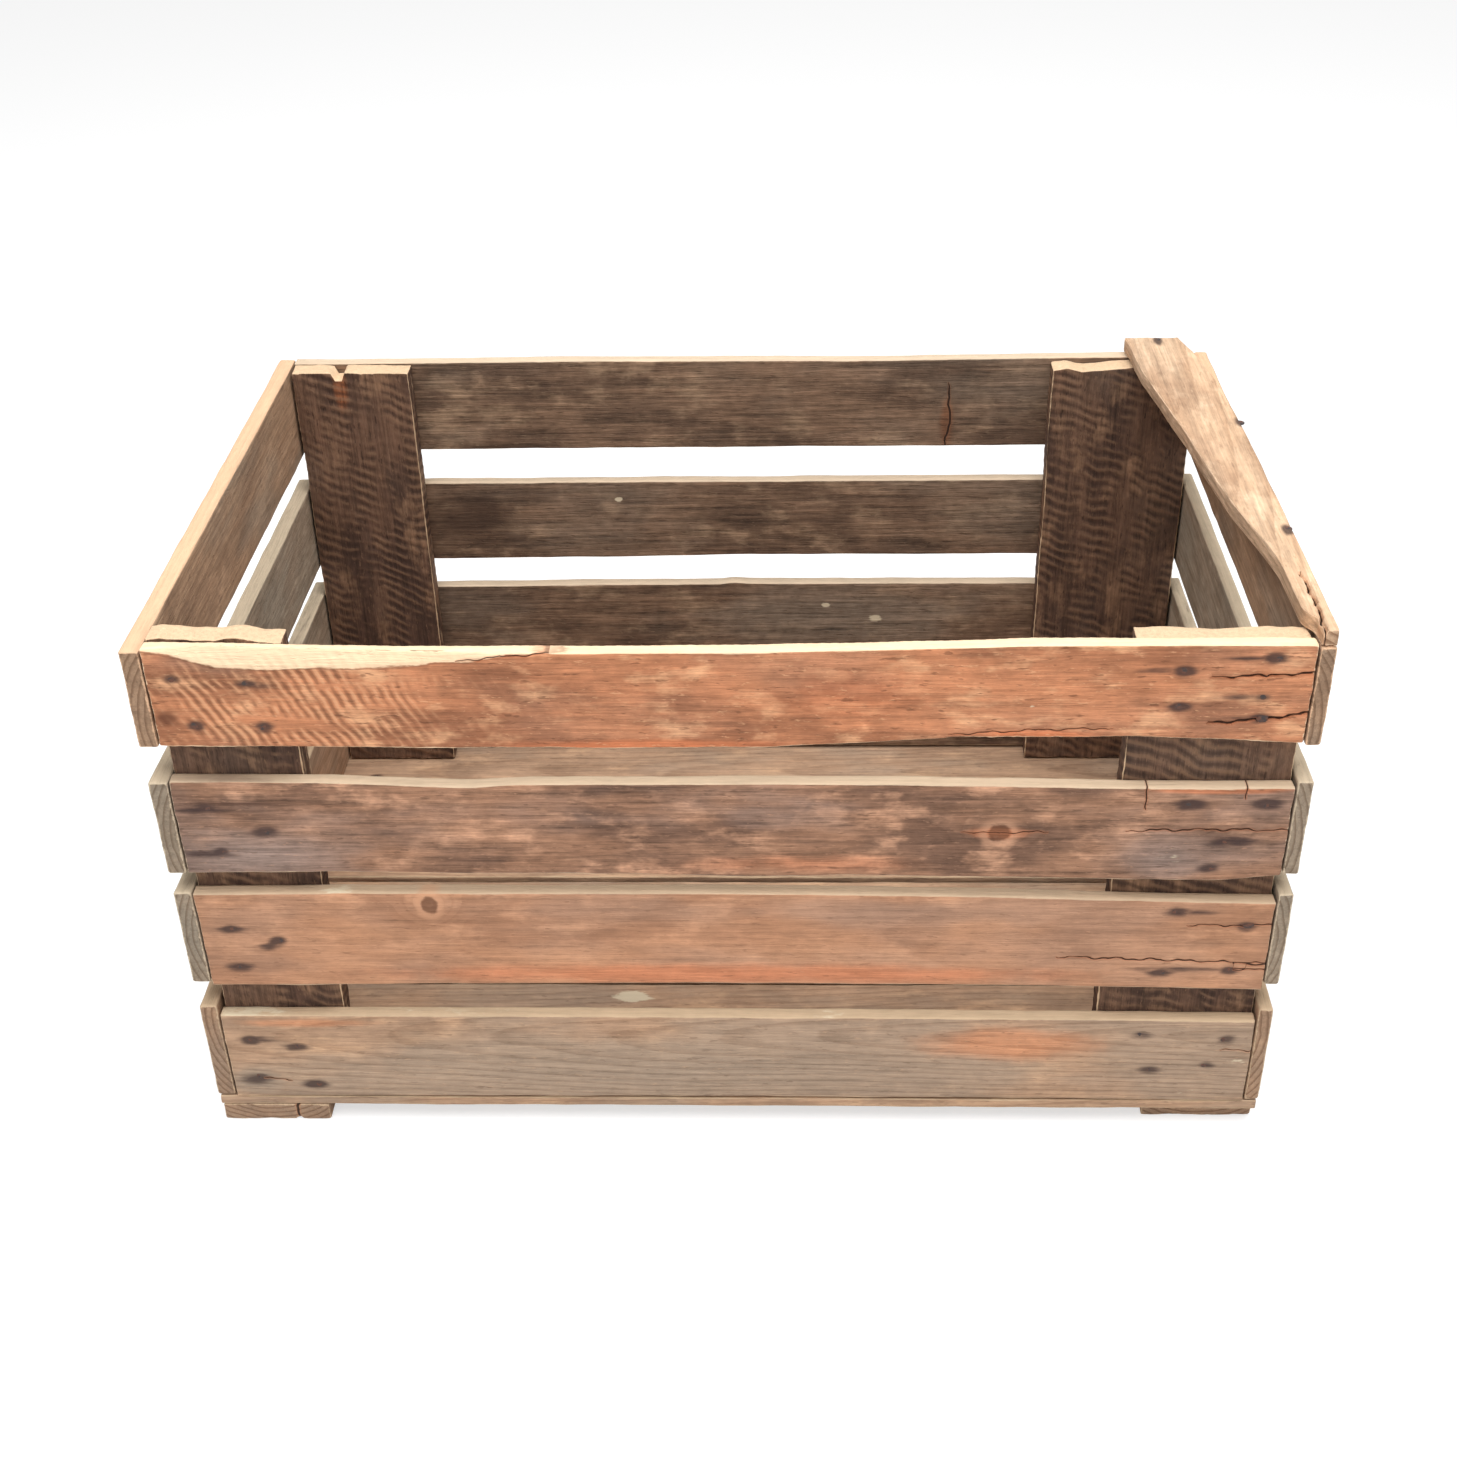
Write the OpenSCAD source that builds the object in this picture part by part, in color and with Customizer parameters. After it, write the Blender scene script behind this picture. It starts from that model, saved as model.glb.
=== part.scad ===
// Old slatted fruit crate: four courses of sawn slats nailed round four flat corner boards,
// a boarded floor on two foot battens, and one split rim board left on top of the right end.
// Sizes are in millimetres. +X runs along the crate, the front looks towards -Y and +Z is up.

/* [Crate] */
// Length of the long slats, between the inner faces of the end slats
long_slat_len = 560; // [420:1:700]
// Depth of the crate, from its front face to its back face
crate_depth = 354; // [270:1:450]
// Thickness of the long slats, front and back
slat_t = 8; // [6:0.5:12]
// Thickness of the slats on the left end
left_end_slat_t = 10; // [6:0.5:13]
// Thickness of the slats on the right end
right_end_slat_t = 8; // [6:0.5:13]

/* [Front slats, counted from the top] */
// Width of the top front slat
front_slat_1_w = 57; // [46:0.5:70]
// Gap below the top front slat
front_gap_1 = 20; // [10:0.5:28]
// Width of the second front slat
front_slat_2_w = 58.5; // [46:0.5:70]
// Gap below the second front slat
front_gap_2 = 11.5; // [6:0.5:20]
// Width of the third front slat
front_slat_3_w = 62; // [50:0.5:75]
// Gap below the third front slat
front_gap_3 = 22; // [12:0.5:30]
// Width of the lowest front slat, which stands on the floor boards
front_slat_4_w = 61; // [50:0.5:75]

/* [Back slats, counted from the top] */
// Width of the top back slat
back_slat_1_w = 61; // [50:0.5:74]
// Gap below the top back slat
back_gap_1 = 22; // [12:0.5:30]
// Width of the second back slat
back_slat_2_w = 57.5; // [46:0.5:70]
// Gap below the second back slat
back_gap_2 = 19; // [10:0.5:30]
// Width of the third back slat
back_slat_3_w = 56; // [46:0.5:68]
// Width of the lowest back slat
back_slat_4_w = 56.5; // [46:0.5:68]
// Height of the lowest back slat above the floor boards
back_slat_lift = 1.5; // [0:0.5:4]

/* [End slats] */
// How much taller the lowest end slats are than the lowest long slats
low_end_slat_extra = 6; // [0:0.5:10]

/* [Corner boards] */
// Thickness of the corner boards
post_t = 14; // [10:0.5:20]
// Width of the front left corner board
front_left_post_w = 69; // [50:1:95]
// Width of the front right corner board
front_right_post_w = 86; // [60:1:110]
// Width of the back left corner board
back_left_post_w = 76; // [55:1:100]
// Width of the back right corner board
back_right_post_w = 90; // [65:1:115]
// How far the front left corner board stands above the slats
front_left_post_rise = 3; // [0:0.5:8]
// Width of the broken inner corner at the top of the front left corner board
broken_corner_w = 14; // [6:1:22]
// Height of that broken corner
broken_corner_h = 6; // [3:0.5:12]
// Width of the notch in the top of the back left corner board
notch_w = 7; // [4:0.5:12]
// Depth of that notch
notch_depth = 6; // [3:0.5:12]

/* [Floor] */
// Thickness of the floor boards
floor_t = 6.5; // [5:0.5:10]
// Width of the floor board at the front
floor_board_1_w = 97; // [75:1:115]
// Width of the floor board behind it
floor_board_2_w = 95; // [75:1:115]
// Gap between the floor boards
floor_gap = 3.5; // [1:0.5:8]

/* [Foot battens] */
// Width of each foot batten
foot_w = 63; // [50:1:78]
// Thickness of the foot battens
foot_t = 12; // [8:0.5:18]
// How far the right foot batten stops short of the front face
right_foot_setback = 7; // [0:0.5:12]

/* [Rim board] */
// Thickness of the rim board
rim_t = 9; // [6:0.5:14]
// Width of the rim board at the back
rim_back_w = 53; // [36:1:70]
// Width of the rim board at the middle of its split edge
rim_mid_w = 31; // [22:1:34]
// Width of the rim board near the front
rim_front_w = 14.5; // [11:0.5:20]
// Width of the tongue left at the front end
rim_tongue_w = 8.5; // [5:0.5:10]
// Length of that tongue
rim_tongue_len = 15; // [8:1:25]

/* [Nails] */
// Diameter of a nail's shank
nail_d = 2.4; // [1.8:0.1:3]
// Diameter of a nail's head
nail_head_d = 5.5; // [4:0.1:6.5]
// Thickness of a nail's head, which lies flush with the wood
nail_head_t = 1; // [0.6:0.1:1.6]
// Wood left between a slat nail's tip and the far face of the board that it holds
nail_tip_cover = 2; // [1:0.5:4]
// How far the end nails go into the edges of the corner boards
end_nail_bite = 15; // [10:1:20]
// How far the foot nails go up into the corner boards
foot_nail_bite = 10; // [6:0.5:13]
// How far the rim nails go down into the slats below
rim_nail_bite = 22; // [12:1:30]

/* [Hidden] */
// Room round each nail in its hole
nail_fit = 0.1;
// How far a hole's cutter reaches past the face that it starts from
cutter_overrun = 1;

front_widths = [front_slat_1_w, front_slat_2_w, front_slat_3_w, front_slat_4_w];
front_gaps = [front_gap_1, front_gap_2, front_gap_3];
wall_h = drop_to(front_widths, front_gaps, 4) + front_slat_4_w;
back_widths = [back_slat_1_w, back_slat_2_w, back_slat_3_w, back_slat_4_w];
back_gap_3 = wall_h - back_slat_lift - back_gap_1 - back_gap_2
    - back_slat_1_w - back_slat_2_w - back_slat_3_w - back_slat_4_w;
back_gaps = [back_gap_1, back_gap_2, back_gap_3];

half_len = long_slat_len / 2;
outer_left = -half_len - left_end_slat_t;
outer_right = half_len + right_end_slat_t;
outer_len = outer_right - outer_left;
base_h = floor_t + foot_t;

// The last two floor boards share what the first two leave of the depth
floor_board_3_w = (crate_depth - floor_board_1_w - floor_board_2_w - 3 * floor_gap) / 2;
floor_widths = [floor_board_1_w, floor_board_2_w, floor_board_3_w, floor_board_3_w];

// Stations of the rim board's split edge, as shares of the crate's depth from the front
rim_front_station = 0.175;
rim_mid_station = 0.45;
rim_back_station = 0.82;
// Widest point of the split edge's flat run at the back, as a share of the width there
rim_back_run = 0.9;

slat_nail_len = slat_t + post_t - nail_tip_cover;
floor_nail_len = floor_t + foot_t - nail_tip_cover;
foot_nail_len = foot_t + floor_t + foot_nail_bite;
rim_nail_len = rim_t + rim_nail_bite;

// Nails in each slat's end, top course first. A spot is the share of the corner board's width,
// counted from the slat's end, and the share of the slat's width, counted from its lower edge.
front_left_spots = [
    [[0.20, 0.72], [0.71, 0.67], [0.29, 0.25], [0.78, 0.23]],
    [[0.26, 0.73], [0.67, 0.47], [0.32, 0.26]],
    [[0.26, 0.61], [0.61, 0.48], [0.26, 0.19]],
    [[0.20, 0.69], [0.58, 0.61], [0.22, 0.25], [0.70, 0.16]]];
front_right_spots = [
    [[0.72, 0.77], [0.21, 0.89], [0.27, 0.51], [0.73, 0.42], [0.26, 0.30]],
    [[0.60, 0.76], [0.16, 0.75], [0.37, 0.37], [0.42, 0.09]],
    [[0.60, 0.81], [0.15, 0.66], [0.63, 0.15], [0.23, 0.18]],
    [[0.72, 0.80], [0.19, 0.74], [0.63, 0.38], [0.29, 0.44]]];
back_left_spots = [
    [[0.20, 0.68], [0.66, 0.74], [0.24, 0.22], [0.70, 0.26]],
    [[0.24, 0.66], [0.62, 0.30], [0.20, 0.20]],
    [[0.20, 0.70], [0.64, 0.60], [0.26, 0.18]],
    [[0.22, 0.64], [0.60, 0.70], [0.20, 0.26], [0.66, 0.30]]];
back_right_spots = [
    [[0.15, 0.64], [0.62, 0.70], [0.18, 0.24], [0.66, 0.28]],
    [[0.18, 0.70], [0.58, 0.62], [0.22, 0.20]],
    [[0.16, 0.66], [0.60, 0.24], [0.20, 0.18], [0.62, 0.72]],
    [[0.18, 0.70], [0.64, 0.62], [0.20, 0.22], [0.60, 0.26]]];
// Heights of the two nails in each end slat, as shares of its width
end_nail_heights = [0.38, 0.82];
// Places of the two nails under each corner board, as shares of the foot batten's width
foot_nail_shares = [0.55, 0.78];
// Places of the nails along the right end slat and across the rim board's back end
rim_side_shares = [0.29, 0.65];
rim_back_shares = [0.60, 0.76];
// Free run kept between a floor nail and the corner boards
floor_nail_margin = 8;
// Places of the two nails in each floor board's end, as shares of its free width
floor_nail_shares = [0.25, 0.75];
// Place of the notch, as a share of the back left corner board's width
notch_share = 0.39;

orange_wood = [0.62, 0.42, 0.27];
grey_wood = [0.50, 0.44, 0.36];
dark_wood = [0.36, 0.27, 0.20];
pale_wood = [0.78, 0.66, 0.50];
iron = [0.22, 0.16, 0.14];

$fn = 24;

// How far the top edge of slat number i lies below the top of the wall
function drop_to(widths, gaps, i) =
    i <= 1 ? 0 : drop_to(widths, gaps, i - 1) + widths[i - 2] + gaps[i - 2];

// Width and lower edge of a long slat, for course 1 to 4
function slat_w(front, course) = (front ? front_widths : back_widths)[course - 1];
function slat_bottom(front, course) =
    wall_h - drop_to(front ? front_widths : back_widths, front ? front_gaps : back_gaps, course)
    - slat_w(front, course);

// Lower and upper edge of an end slat where it meets the front or the back
function end_bottom(front, course) = course == 4 ? 0 : slat_bottom(front, course);
function end_top(front, course) =
    slat_bottom(front, course) + slat_w(front, course) + (course == 4 ? low_end_slat_extra : 0);

function post_w(front, left) = front
    ? (left ? front_left_post_w : front_right_post_w)
    : (left ? back_left_post_w : back_right_post_w);
function slat_spots(front, left) = front
    ? (left ? front_left_spots : front_right_spots)
    : (left ? back_left_spots : back_right_spots);

// Middle of a corner board's thickness
function post_mid_y(front) = front ? slat_t + post_t / 2 : crate_depth - slat_t - post_t / 2;

// Front edge of floor board 1 to 4
function floor_board_y(board) =
    board == 1 ? 0 : floor_board_y(board - 1) + floor_widths[board - 2] + floor_gap;

// Moves the crate so that the origin lies under its middle, on the ground
module placed() {
    translate([-(outer_left + outer_right) / 2, -crate_depth / 2, base_h]) children();
}

// A nail that points along +Z, with its head's face at the origin
module nail(length) {
    cylinder(d = nail_head_d, h = nail_head_t);
    cylinder(d = nail_d, h = length);
}

module nail_hole(length) {
    translate([0, 0, -cutter_overrun])
        cylinder(d = nail_head_d + 2 * nail_fit, h = cutter_overrun + nail_head_t + nail_fit);
    cylinder(d = nail_d + 2 * nail_fit, h = length + nail_fit);
}

// Puts its children at the nails in one end of one long slat
module at_slat_nails(front, left, course) {
    for (spot = slat_spots(front, left)[course - 1])
        translate([
            (left ? -1 : 1) * (half_len - spot[0] * post_w(front, left)),
            front ? 0 : crate_depth,
            slat_bottom(front, course) + spot[1] * slat_w(front, course)])
            rotate([front ? -90 : 90, 0, 0])
                children();
}

// Puts its children at the two nails in one end of one end slat
module at_end_nails(front, left, course) {
    bottom = end_bottom(front, course);
    for (share = end_nail_heights)
        translate([
            left ? outer_left : outer_right,
            post_mid_y(front),
            bottom + share * (end_top(front, course) - bottom)])
            rotate([0, left ? 90 : -90, 0])
                children();
}

// Puts its children at the nails that come up through a foot batten into a corner board
module at_foot_nails(front, left) {
    for (share = foot_nail_shares)
        translate([
            left ? outer_left + share * foot_w : outer_right - share * foot_w,
            post_mid_y(front),
            -base_h])
            children();
}

// Puts its children at the nails that hold one floor board's end to a foot batten
module at_floor_nails(left, board) {
    clear_of_posts = slat_t + post_t + floor_nail_margin;
    low = max(floor_board_y(board), clear_of_posts);
    high = min(floor_board_y(board) + floor_widths[board - 1], crate_depth - clear_of_posts);
    for (share = floor_nail_shares)
        translate([
            left ? outer_left + foot_w / 2 : outer_right - foot_w / 2,
            low + share * (high - low),
            0])
            rotate([180, 0, 0])
                children();
}

// Puts its children at the nails driven down through the rim board into the end slat
module at_rim_side_nails() {
    for (share = rim_side_shares)
        translate([half_len + right_end_slat_t / 2, share * crate_depth, wall_h + rim_t])
            rotate([180, 0, 0])
                children();
}

// Puts its children at the nails driven down through the rim board into the back slat
module at_rim_back_nails() {
    for (share = rim_back_shares)
        translate([outer_right - share * rim_back_w, crate_depth - slat_t / 2, wall_h + rim_t])
            rotate([180, 0, 0])
                children();
}

module long_slat(front, course) {
    placed()
        difference() {
            translate([-half_len, front ? 0 : crate_depth - slat_t, slat_bottom(front, course)])
                cube([long_slat_len, slat_t, slat_w(front, course)]);
            for (left = [true, false])
                at_slat_nails(front, left, course)
                    nail_hole(slat_nail_len);
            if (!front && course == 1)
                at_rim_back_nails()
                    nail_hole(rim_nail_len);
        }
}

module front_slat(course) {
    color(course == 4 ? grey_wood : orange_wood)
        long_slat(true, course);
}

module back_slat(course) {
    color(dark_wood)
        long_slat(false, course);
}

// An end slat runs from the height of the front slat to that of the back slat
module end_slat(left, course) {
    thickness = left ? left_end_slat_t : right_end_slat_t;
    color(course == 1 ? orange_wood : grey_wood)
        placed()
            difference() {
                translate([left ? outer_left : half_len, 0, 0])
                    rotate([90, 0, 90])
                        linear_extrude(thickness)
                            polygon([
                                [0, end_bottom(true, course)],
                                [crate_depth, end_bottom(false, course)],
                                [crate_depth, end_top(false, course)],
                                [0, end_top(true, course)]]);
                for (front = [true, false])
                    at_end_nails(front, left, course)
                        nail_hole(thickness + end_nail_bite);
                if (!left && course == 1)
                    at_rim_side_nails()
                        nail_hole(rim_nail_len);
            }
}

// A flat corner board inside the slats, drilled by every nail that it holds
module corner_board(front, left, outline) {
    thickness = left ? left_end_slat_t : right_end_slat_t;
    color(dark_wood)
        placed()
            difference() {
                translate([0, front ? slat_t + post_t : crate_depth - slat_t, 0])
                    rotate([90, 0, 0])
                        linear_extrude(post_t)
                            polygon(outline);
                for (course = [1 : 4]) {
                    at_slat_nails(front, left, course)
                        nail_hole(slat_nail_len);
                    at_end_nails(front, left, course)
                        nail_hole(thickness + end_nail_bite);
                }
                at_foot_nails(front, left)
                    nail_hole(foot_nail_len);
            }
}

// This one stands proud of the slats, and its inner top corner has broken off
module front_left_corner_board() {
    top = wall_h + front_left_post_rise;
    inner = -half_len + front_left_post_w;
    corner_board(true, true, [
        [-half_len, 0],
        [inner, 0],
        [inner, top - broken_corner_h],
        [inner - broken_corner_w, top],
        [-half_len, top]]);
}

module front_right_corner_board() {
    inner = half_len - front_right_post_w;
    corner_board(true, false, [[inner, 0], [half_len, 0], [half_len, wall_h], [inner, wall_h]]);
}

// A nail has torn a square notch out of the top of this one
module back_left_corner_board() {
    inner = -half_len + back_left_post_w;
    notch_mid = -half_len + notch_share * back_left_post_w;
    corner_board(false, true, [
        [-half_len, 0],
        [inner, 0],
        [inner, wall_h],
        [notch_mid + notch_w / 2, wall_h],
        [notch_mid + notch_w / 2, wall_h - notch_depth],
        [notch_mid - notch_w / 2, wall_h - notch_depth],
        [notch_mid - notch_w / 2, wall_h],
        [-half_len, wall_h]]);
}

module back_right_corner_board() {
    inner = half_len - back_right_post_w;
    corner_board(false, false, [[inner, 0], [half_len, 0], [half_len, wall_h], [inner, wall_h]]);
}

// The walls stand on the floor boards, which reach the outer faces all round
module floor_board(board) {
    color(grey_wood)
        placed()
            difference() {
                translate([outer_left, floor_board_y(board), -floor_t])
                    cube([outer_len, floor_widths[board - 1], floor_t]);
                for (left = [true, false]) {
                    at_floor_nails(left, board)
                        nail_hole(floor_nail_len);
                    for (front = [true, false])
                        at_foot_nails(front, left)
                            nail_hole(foot_nail_len);
                }
            }
}

module foot_batten(left, setback) {
    color(grey_wood)
        placed()
            difference() {
                translate([left ? outer_left : outer_right - foot_w, setback, -base_h])
                    cube([foot_w, crate_depth - setback, foot_t]);
                for (front = [true, false])
                    at_foot_nails(front, left)
                        nail_hole(foot_nail_len);
                for (board = [1 : 4])
                    at_floor_nails(left, board)
                        nail_hole(floor_nail_len);
            }
}

// The rim board has split along its grain, so it narrows to a tongue at the front
module right_rim_board() {
    flat_run_w = rim_mid_w + rim_back_run * (rim_back_w - rim_mid_w);
    color(pale_wood)
        placed()
            difference() {
                translate([outer_right, 0, wall_h])
                    linear_extrude(rim_t)
                        polygon([
                            [0, 0],
                            [0, crate_depth],
                            [-rim_back_w, crate_depth],
                            [-flat_run_w, rim_back_station * crate_depth],
                            [-rim_mid_w, rim_mid_station * crate_depth],
                            [-rim_front_w, rim_front_station * crate_depth],
                            [-rim_front_w, rim_tongue_len],
                            [-rim_tongue_w, rim_tongue_len],
                            [-rim_tongue_w, 0]]);
                at_rim_side_nails()
                    nail_hole(rim_nail_len);
                at_rim_back_nails()
                    nail_hole(rim_nail_len);
            }
}

module slat_nails(front, left) {
    color(iron)
        placed()
            for (course = [1 : 4])
                at_slat_nails(front, left, course)
                    nail(slat_nail_len);
}

module end_nails(left) {
    color(iron)
        placed()
            for (course = [1 : 4], front = [true, false])
                at_end_nails(front, left, course)
                    nail((left ? left_end_slat_t : right_end_slat_t) + end_nail_bite);
}

module floor_nails() {
    color(iron)
        placed()
            for (board = [1 : 4], left = [true, false])
                at_floor_nails(left, board)
                    nail(floor_nail_len);
}

module foot_nails() {
    color(iron)
        placed()
            for (front = [true, false], left = [true, false])
                at_foot_nails(front, left)
                    nail(foot_nail_len);
}

module rim_nails() {
    color(iron)
        placed() {
            at_rim_side_nails()
                nail(rim_nail_len);
            at_rim_back_nails()
                nail(rim_nail_len);
        }
}

front_slat(1);  // front_slat_1
front_slat(2);  // front_slat_2
front_slat(3);  // front_slat_3
front_slat(4);  // front_slat_4
back_slat(1);  // back_slat_1
back_slat(2);  // back_slat_2
back_slat(3);  // back_slat_3
back_slat(4);  // back_slat_4
end_slat(true, 1);  // left_end_slat_1
end_slat(true, 2);  // left_end_slat_2
end_slat(true, 3);  // left_end_slat_3
end_slat(true, 4);  // left_end_slat_4
end_slat(false, 1);  // right_end_slat_1
end_slat(false, 2);  // right_end_slat_2
end_slat(false, 3);  // right_end_slat_3
end_slat(false, 4);  // right_end_slat_4
front_left_corner_board();
front_right_corner_board();
back_left_corner_board();
back_right_corner_board();
floor_board(1);  // floor_board_1
floor_board(2);  // floor_board_2
floor_board(3);  // floor_board_3
floor_board(4);  // floor_board_4
foot_batten(true, 0);  // left_foot_batten
foot_batten(false, right_foot_setback);  // right_foot_batten
right_rim_board();
slat_nails(true, true);  // front_left_nails
slat_nails(true, false);  // front_right_nails
slat_nails(false, true);  // back_left_nails
slat_nails(false, false);  // back_right_nails
end_nails(true);  // left_end_nails
end_nails(false);  // right_end_nails
floor_nails();
foot_nails();
rim_nails();
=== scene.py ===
import math

import bpy
import numpy as np
from mathutils import Matrix, Vector


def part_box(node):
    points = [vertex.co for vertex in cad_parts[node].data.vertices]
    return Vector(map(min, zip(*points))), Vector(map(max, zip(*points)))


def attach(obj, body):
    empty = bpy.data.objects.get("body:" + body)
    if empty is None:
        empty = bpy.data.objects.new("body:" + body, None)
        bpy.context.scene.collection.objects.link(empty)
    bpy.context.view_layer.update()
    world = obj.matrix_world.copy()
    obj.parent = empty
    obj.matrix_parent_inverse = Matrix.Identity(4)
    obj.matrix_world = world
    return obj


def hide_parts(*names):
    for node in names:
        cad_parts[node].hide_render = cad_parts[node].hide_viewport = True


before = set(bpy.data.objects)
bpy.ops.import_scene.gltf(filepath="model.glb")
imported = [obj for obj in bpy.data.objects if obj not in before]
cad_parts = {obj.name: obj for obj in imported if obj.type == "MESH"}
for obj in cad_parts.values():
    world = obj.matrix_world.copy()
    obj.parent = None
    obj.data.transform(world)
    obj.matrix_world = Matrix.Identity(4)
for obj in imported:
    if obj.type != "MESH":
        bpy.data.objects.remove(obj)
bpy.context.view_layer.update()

# ---------------------------------------------------------------------------------------
# The view: the crate seen from in front and above, at the photograph's angle. The camera
# stands about a metre in front of the crate's middle and looks down at 34 degrees.

camera_at = (0.03742, -0.96213, 0.78856)
yaw, pitch, roll = 0.044158, 0.587079, -0.026433
forward = Vector((-math.sin(yaw) * math.cos(pitch), math.cos(yaw) * math.cos(pitch), -math.sin(pitch)))
level = Vector((math.cos(yaw), math.sin(yaw), 0.0))
upward = level.cross(forward)
sideways = level * math.cos(roll) + upward * math.sin(roll)
overhead = upward * math.cos(roll) - level * math.sin(roll)
lens = bpy.data.cameras.new("view")
lens.lens = 48.10
lens.sensor_width = 36.0
viewer = bpy.data.objects.new("view", lens)
viewer.matrix_world = (Matrix.Translation(camera_at)
                       @ Matrix((sideways, overhead, -forward)).transposed().to_4x4())
bpy.context.scene.collection.objects.link(viewer)
bpy.context.scene.camera = viewer

# ---------------------------------------------------------------------------------------
# Front slats: four rough-sawn softwood slats, 8 mm thick, whose ends are nailed to the two
# corner boards. The top one is fuzzy and orange, with saw marks and a long splinter gone
# from its front top edge; the lower ones are browner and greyer towards the floor.


def node(tree, kind, feeds={}, out=0, **settings):
    """Adds a node, sets it, feeds its inputs, and gives back one of its outputs."""
    made = tree.nodes.new(kind)
    for name, value in settings.items():
        setattr(made, name, value)
    for key, value in feeds.items():
        if isinstance(value, bpy.types.NodeSocket):
            tree.links.new(value, made.inputs[key])
        else:
            made.inputs[key].default_value = value
    return made.outputs[out]


def sums(tree, operation, *terms):
    """A math node, for numbers."""
    return node(tree, "ShaderNodeMath", dict(enumerate(terms)), operation=operation)


def vectors(tree, operation, *terms, out=0):
    """A vector math node. A single number as the second term of SCALE is its scale."""
    feeds = dict(enumerate(terms))
    if operation == "SCALE":
        feeds = {0: terms[0], "Scale": terms[1]}
    return node(tree, "ShaderNodeVectorMath", feeds, out, operation=operation)


def rise(tree, value, low, high):
    """A smooth step from 0 to 1 as value goes from low to high."""
    return node(tree, "ShaderNodeMapRange", {0: value, 1: low, 2: high}, interpolation_type="SMOOTHSTEP")


def inputs(tree, *rows):
    """Names a tree's inputs, with their kinds and values, and gives back its inside sockets."""
    for name, kind, value in rows:
        socket = tree.interface.new_socket(name, in_out="INPUT", socket_type="NodeSocket" + kind)
        if value is not None:
            socket.default_value = value
    return tree.nodes.new("NodeGroupInput").outputs


def sawn_board():
    """A rough-sawn board, its length on X, its width on Y and its face side towards +Z."""
    tree = bpy.data.node_groups.new("sawn_board", "GeometryNodeTree")
    tree.interface.new_socket("Board", in_out="OUTPUT", socket_type="NodeSocketGeometry")
    given = inputs(tree, ("Length", "Float", 0.56), ("Width", "Float", 0.06), ("Thickness", "Float", 0.008),
                   ("Rows Along", "Int", 350), ("Rows Across", "Int", 30), ("Rows Through", "Int", 6),
                   ("Arris", "Float", 0.0012), ("Edge Wander", "Float", 0.0008), ("Rough", "Float", 0.0002),
                   ("Saw Depth", "Float", 0.0), ("Saw Pitch", "Float", 0.005), ("Saw Slant", "Float", 1.1),
                   ("Seed", "Float", 0.0), ("Wood", "Material", None))
    size = node(tree, "ShaderNodeCombineXYZ", {0: given["Length"], 1: given["Width"], 2: given["Thickness"]})
    half = vectors(tree, "SCALE", size, 0.5)
    blank = node(tree, "GeometryNodeMeshCube", {
        "Size": size, "Vertices X": given["Rows Along"], "Vertices Y": given["Rows Across"],
        "Vertices Z": given["Rows Through"]})
    place = node(tree, "GeometryNodeInputPosition")
    seed = node(tree, "ShaderNodeCombineXYZ", {0: given["Seed"], 1: given["Seed"], 2: given["Seed"]})

    def noise(at, stretch, detail=2.0):
        spot = node(tree, "ShaderNodeVectorMath", {0: at, 1: stretch, 2: seed}, operation="MULTIPLY_ADD")
        return node(tree, "ShaderNodeTexNoise", {"Vector": spot, "Scale": 1.0, "Detail": detail})

    # Rows draw together towards the arrises, where the wear is.
    share = vectors(tree, "DIVIDE", place, half)
    cube = vectors(tree, "MULTIPLY", vectors(tree, "MULTIPLY", share, share), share)
    drawn = vectors(tree, "SUBTRACT", vectors(tree, "MULTIPLY", share, (1.3, 1.25, 1.2)),
                    vectors(tree, "MULTIPLY", cube, (0.3, 0.25, 0.2)))
    spread = vectors(tree, "MULTIPLY", drawn, half)
    spaced = node(tree, "GeometryNodeSetPosition", {0: blank, "Position": spread})
    named = node(tree, "GeometryNodeStoreNamedAttribute", {0: spaced, "Name": "blank_at", "Value": place},
                 data_type="FLOAT_VECTOR", domain="POINT")

    # The arrises are rounded, more in some places than in others.
    worn = sums(tree, "MULTIPLY", given["Arris"],
                sums(tree, "MULTIPLY_ADD", noise(place, (28.0, 60.0, 60.0)), 2.6, -0.35))
    radius = sums(tree, "MAXIMUM", worn, 0.0003)
    inset = node(tree, "ShaderNodeCombineXYZ", {0: radius, 1: radius, 2: radius})
    room = vectors(tree, "SUBTRACT", half, inset)
    core = vectors(tree, "MINIMUM", vectors(tree, "MAXIMUM", place, vectors(tree, "SCALE", room, -1.0)), room)
    away = vectors(tree, "NORMALIZE", vectors(tree, "SUBTRACT", place, core))
    rounded = node(tree, "GeometryNodeSetPosition",
                   {0: named, "Position": vectors(tree, "ADD", core, vectors(tree, "SCALE", away, radius))})

    # Its long edges wander, and its sawn ends are ragged.
    at = vectors(tree, "DIVIDE", place, half)
    x, y = (node(tree, "ShaderNodeSeparateXYZ", {0: at}, out=k) for k in (0, 1))
    side = node(tree, "ShaderNodeCombineXYZ", {0: node(tree, "ShaderNodeSeparateXYZ", {0: place}),
                                               1: sums(tree, "SIGN", y)})
    edge = sums(tree, "MULTIPLY", sums(tree, "POWER", y, 3.0), noise(side, (16.0, 9.0, 1.0), 4.0))
    end = sums(tree, "MULTIPLY", sums(tree, "POWER", x, 41.0), noise(place, (4.0, 130.0, 130.0), 3.0))
    drawn_in = sums(tree, "MULTIPLY", sums(tree, "MULTIPLY", edge, -1.6), given["Edge Wander"])
    shift = node(tree, "ShaderNodeCombineXYZ", {0: sums(tree, "MULTIPLY", end, -0.0014), 1: drawn_in})
    ragged = node(tree, "GeometryNodeSetPosition", {0: rounded, "Offset": shift})

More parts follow.
